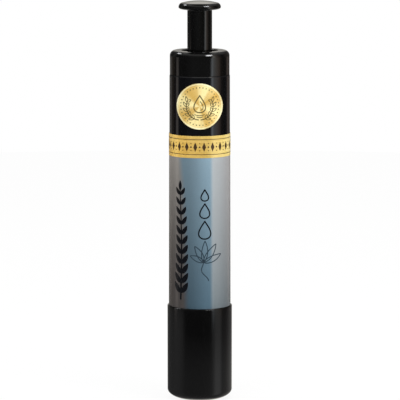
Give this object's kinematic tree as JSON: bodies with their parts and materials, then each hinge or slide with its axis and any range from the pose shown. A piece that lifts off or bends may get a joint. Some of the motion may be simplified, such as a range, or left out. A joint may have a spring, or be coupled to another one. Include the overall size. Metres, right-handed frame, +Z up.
{
  "type": "nail oil pen",
  "caption": "Push-button cosmetic oil pen: slim round barrel with a sprung thumb plunger at the rear, a hidden pump, a brush tip and a pull-off cap that it stands on.",
  "frame": {"origin": "centre of the flat on the cap's closed end, which the pen stands on", "axes": "+Z up along the pen from the cap to the thumb head; -Y is the front, with the round seal; +X is to the right seen from the front"},
  "size_m": [0.019, 0.019, 0.1177],
  "materials": {
    "cap_plastic": "glossy black moulded cap",
    "barrel_plastic": "glossy blue-black moulded barrel",
    "label_film": "satin blue-grey printed film, fading to warm grey at one side",
    "gold_foil": "brushed gold foil",
    "collar_plastic": "glossy black moulded collar",
    "plunger_plastic": "glossy black moulded plunger",
    "liner_plastic": "translucent white liner",
    "inner_plastic": "natural white moulding",
    "bush_plastic": "black bearing plastic",
    "nozzle_plastic": "black moulding",
    "seal_rubber": "black nitrile",
    "valve_rubber": "orange silicone",
    "spring_steel": "drawn stainless wire",
    "polished_steel": "polished stainless steel",
    "bristle": "dark nylon bristles"
  },
  "bodies": {
    "cap": {"cap_shell": "cap_plastic", "cap_liner": "liner_plastic"},
    "barrel": {"barrel_shell": "barrel_plastic", "inner_cartridge": "inner_plastic", "wrap_label": "label_film", "gold_band": "gold_foil", "seal_disc": "gold_foil", "rear_collar": "collar_plastic", "guide_bush": "bush_plastic", "return_spring": "spring_steel", "spring_bulkhead": "inner_plastic", "guide_tube": "inner_plastic", "pump_body": "inner_plastic", "inlet_seat": "inner_plastic", "outlet_valve": "valve_rubber", "nozzle_housing": "nozzle_plastic", "nozzle_seal": "seal_rubber", "neck_ring": "seal_rubber", "feed_tube": "polished_steel", "brush_ferrule": "polished_steel", "brush_tuft": "bristle"},
    "plunger": {"plunger": "plunger_plastic", "stop_ring": "inner_plastic", "push_rod": "inner_plastic", "pump_piston": "liner_plastic"},
    "follower": {"follower_piston": "liner_plastic"},
    "inlet_ball": {"inlet_ball": "polished_steel"}
  },
  "joints": [
    {"name": "plunger_press", "type": "slide", "parent": "barrel", "child": "plunger", "axis": [0, 0, -1], "range_m": [0, 0.0105], "stiffness_N_per_m": 380, "springref_m": -0.0053, "deforming": ["return_spring"]},
    {"name": "follower_travel", "type": "slide", "parent": "barrel", "child": "follower", "axis": [0, 0, -1], "range_m": [0, 0.038]},
    {"name": "inlet_ball_lift", "type": "slide", "parent": "barrel", "child": "inlet_ball", "axis": [0, 0, 1], "range_m": [0, 0.0005]},
    {"name": "cap_pull", "type": "slide", "parent": "cap", "child": "barrel", "axis": [0, 0, 1], "range_m": [0, 0.032]}
  ]
}
